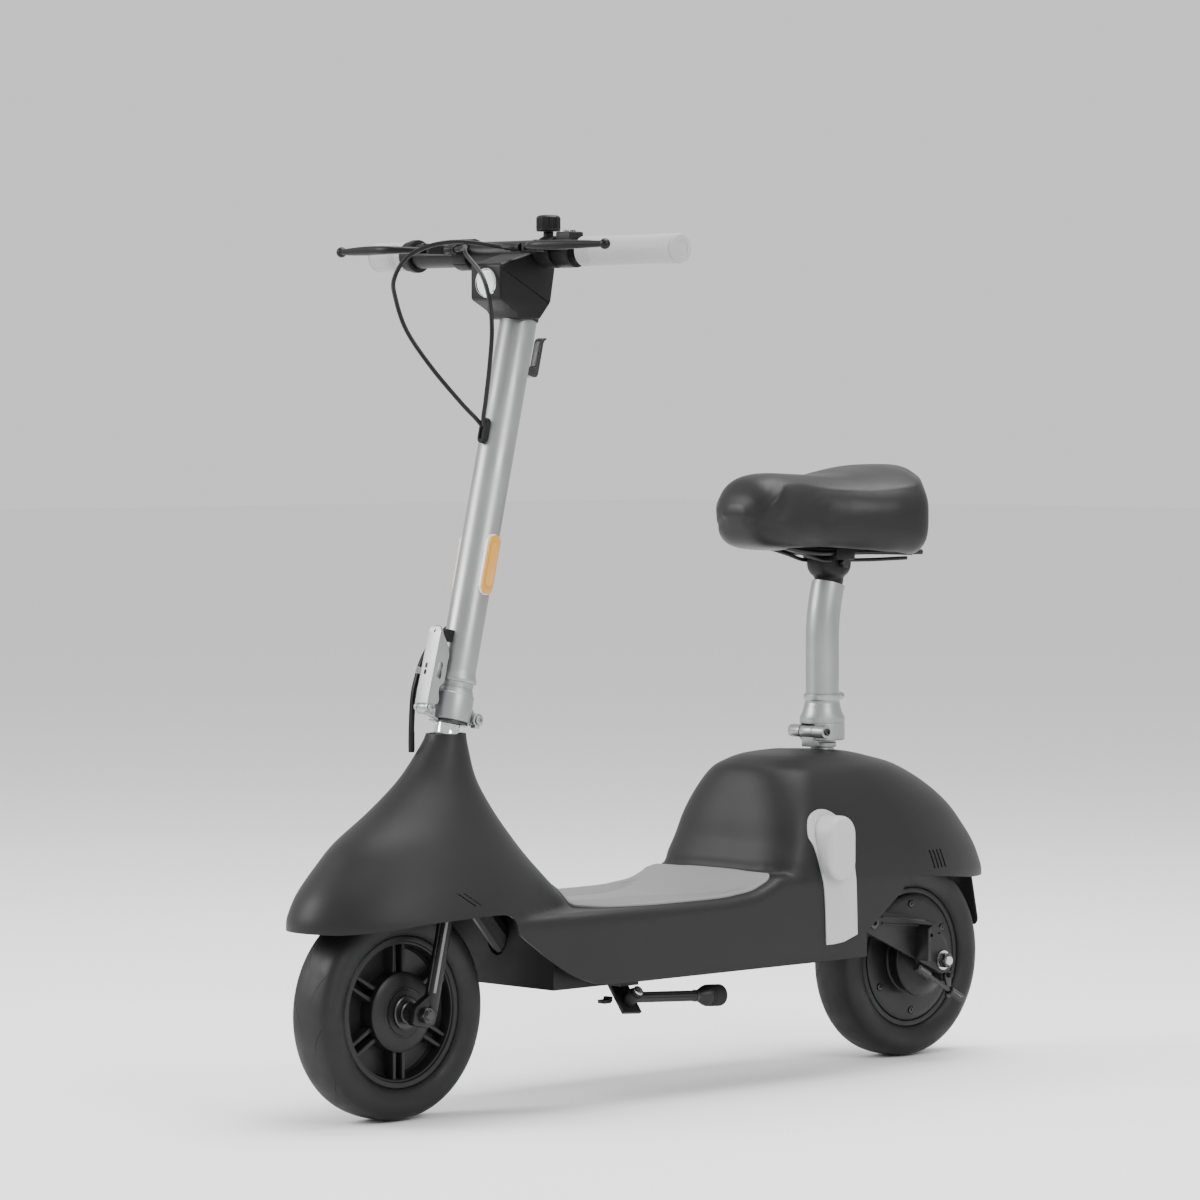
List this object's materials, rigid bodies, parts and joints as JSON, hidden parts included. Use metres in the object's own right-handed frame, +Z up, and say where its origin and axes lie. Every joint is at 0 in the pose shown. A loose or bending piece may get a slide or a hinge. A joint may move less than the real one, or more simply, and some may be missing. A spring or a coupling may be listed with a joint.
{
  "type": "seated electric scooter",
  "caption": "Small-wheeled seated electric scooter with moulded step-through body, folding stem and seat post, rubber deck mat, hub motor and padded saddle.",
  "frame": {"origin": "on the ground, midway between the nose of the body and the foot of the mudflap, on the middle plane", "axes": "+Z up, front of the scooter towards -Y, rider's left towards +X"},
  "size_m": [0.524, 1.14, 1.0553],
  "materials": {
    "body_plastic": "fine-grained matte charcoal moulding",
    "mat_rubber": "ribbed mid-grey rubber",
    "trim_grey": "smooth light grey moulding",
    "black_plastic": "satin black moulding",
    "frame_paint": "satin black powder coat",
    "battery_case": "blue shrink-wrapped pack",
    "controller_alloy": "finned bare alloy",
    "black_rubber": "matte black rubber",
    "dark_steel": "blackened steel",
    "bright_steel": "bright plated steel",
    "stem_silver": "satin silver coat",
    "amber_reflector": "prismatic amber reflector",
    "tyre_rubber": "black road tyre",
    "rim_black": "satin black cast alloy",
    "grip_grey": "soft pale grey grip",
    "lever_black": "black coated alloy",
    "button_plastic": "small coloured switch caps",
    "lamp_white": "clear white lamp lens",
    "cable_black": "black cable sheath",
    "saddle_cover": "dark satin padded cover"
  },
  "bodies": {
    "chassis": {"body_shell": "body_plastic", "deck_mat": "mat_rubber", "side_strip_left": "trim_grey", "side_strip_right": "trim_grey", "charge_socket": "black_plastic", "frame": "frame_paint", "battery_pack": "battery_case", "controller": "controller_alloy", "belly_pan": "black_plastic", "mudflap": "black_rubber", "rear_arm_left": "frame_paint", "rear_arm_right": "frame_paint", "brake_cable_end": "dark_steel", "kickstand_bracket": "frame_paint", "rear_axle": "dark_steel", "brake_plate": "rim_black", "seat_socket": "stem_silver"},
    "steering": {"fork_crown": "frame_paint", "fork_leg_left": "frame_paint", "fork_leg_right": "frame_paint", "headset_nut": "bright_steel", "stem_base": "stem_silver", "front_axle": "dark_steel", "wiring_harness": "cable_black"},
    "front_wheel": {"front_tyre": "tyre_rubber", "front_rim": "rim_black"},
    "stem": {"stem_tube": "stem_silver", "cable_grommet": "black_rubber", "reflector_left": "amber_reflector", "reflector_right": "amber_reflector", "bag_hook": "stem_silver", "head_housing": "black_plastic", "headlight": "lamp_white", "handlebar": "frame_paint", "grip_left": "grip_grey", "grip_right": "grip_grey", "lever_perch_left": "black_plastic", "lever_perch_right": "black_plastic", "control_pod": "black_plastic", "brake_cable_left": "cable_black", "brake_cable_right": "cable_black"},
    "stem_latch": {"latch_lever": "stem_silver"},
    "left_lever": {"brake_lever_left": "lever_black"},
    "right_lever": {"brake_lever_right": "lever_black"},
    "throttle": {"throttle_lever": "black_plastic"},
    "bell_cap": {"bell": "black_plastic"},
    "horn": {"horn_button": "button_plastic"},
    "light": {"light_button": "button_plastic"},
    "rear_wheel": {"rear_tyre": "tyre_rubber", "hub_motor": "rim_black"},
    "drum_arm": {"brake_arm": "dark_steel"},
    "stand": {"kickstand_leg": "frame_paint", "kickstand_foot": "black_rubber"},
    "seat": {"seat_post": "stem_silver", "seat_clamp": "frame_paint", "seat_rails": "frame_paint", "saddle_pan": "black_plastic", "saddle": "saddle_cover"},
    "seat_pin": {"seat_lock_pin": "bright_steel"},
    "cover": {"charge_cover": "trim_grey"}
  },
  "joints": [
    {"name": "steering_turn", "type": "hinge", "parent": "chassis", "child": "steering", "pos_m": [0, -0.42044, 0.12326], "axis": [0, 0.2338, 0.9723], "range_deg": [-40, 40]},
    {"name": "front_wheel_spin", "type": "hinge", "parent": "steering", "child": "front_wheel", "pos_m": [0, -0.436, 0.127], "axis": [1, 0, 0], "continuous": true},
    {"name": "rear_wheel_spin", "type": "hinge", "parent": "chassis", "child": "rear_wheel", "pos_m": [0, 0.4385, 0.127], "axis": [1, 0, 0], "continuous": true},
    {"name": "stem_fold", "type": "hinge", "parent": "steering", "child": "stem", "pos_m": [0, -0.31012, 0.46062], "axis": [1, 0, 0], "range_deg": [-42, 0]},
    {"name": "stem_latch_swing", "type": "hinge", "parent": "steering", "child": "stem_latch", "pos_m": [0, -0.37833, 0.47804], "axis": [1, 0, 0], "range_deg": [0, 55]},
    {"name": "brake_lever_left_pull", "type": "hinge", "parent": "stem", "child": "left_lever", "pos_m": [0.07, -0.26342, 1.01603], "axis": [0, 0, 1], "range_deg": [0, 15], "stiffness_Nm_per_rad": 1.5, "springref_deg": -11.46},
    {"name": "brake_lever_right_pull", "type": "hinge", "parent": "stem", "child": "right_lever", "pos_m": [-0.123, -0.26342, 1.01603], "axis": [0, 0, -1], "range_deg": [0, 15], "stiffness_Nm_per_rad": 1.5, "springref_deg": -11.46},
    {"name": "drum_brake_swing", "type": "hinge", "parent": "chassis", "child": "drum_arm", "pos_m": [0.072, 0.4565, 0.106], "axis": [1, 0, 0], "range_deg": [-15, 0]},
    {"name": "throttle_turn", "type": "hinge", "parent": "stem", "child": "throttle", "pos_m": [-0.195, -0.21542, 1.01103], "axis": [-1, 0, 0], "range_deg": [0, 35], "stiffness_Nm_per_rad": 0.2, "springref_deg": -11.46},
    {"name": "bell_twist", "type": "hinge", "parent": "stem", "child": "bell_cap", "pos_m": [0.04, -0.21542, 1.045], "axis": [0, 0, 1], "range_deg": [0, 40], "stiffness_Nm_per_rad": 0.1},
    {"name": "horn_press", "type": "slide", "parent": "stem", "child": "horn", "axis": [0, 0, -1], "range_m": [0, 0.0015], "stiffness_N_per_m": 400, "springref_m": -0.001},
    {"name": "light_press", "type": "slide", "parent": "stem", "child": "light", "axis": [0, 0, -1], "range_m": [0, 0.0015], "stiffness_N_per_m": 400, "springref_m": -0.001},
    {"name": "kickstand_swing", "type": "hinge", "parent": "chassis", "child": "stand", "pos_m": [0.09, -0.126, 0.125], "axis": [-0.7698, -0.0382, -0.6372], "range_deg": [0, 96]},
    {"name": "seat_fold", "type": "hinge", "parent": "chassis", "child": "seat", "pos_m": [0, 0.276, 0.4215], "axis": [1, 0, 0], "range_deg": [0, 85]},
    {"name": "seat_pin_pull", "type": "slide", "parent": "seat", "child": "seat_pin", "axis": [0, 1, 0], "range_m": [0, 0.005], "stiffness_N_per_m": 500, "springref_m": -0.001},
    {"name": "charge_cover_flap", "type": "hinge", "parent": "chassis", "child": "cover", "pos_m": [0.121, 0.192, 0.3292], "axis": [0, -1, 0], "range_deg": [0, 100]}
  ],
  "couplings": [
    {"joint": "drum_brake_swing", "follows": "brake_lever_left_pull", "ratio": -1}
  ]
}
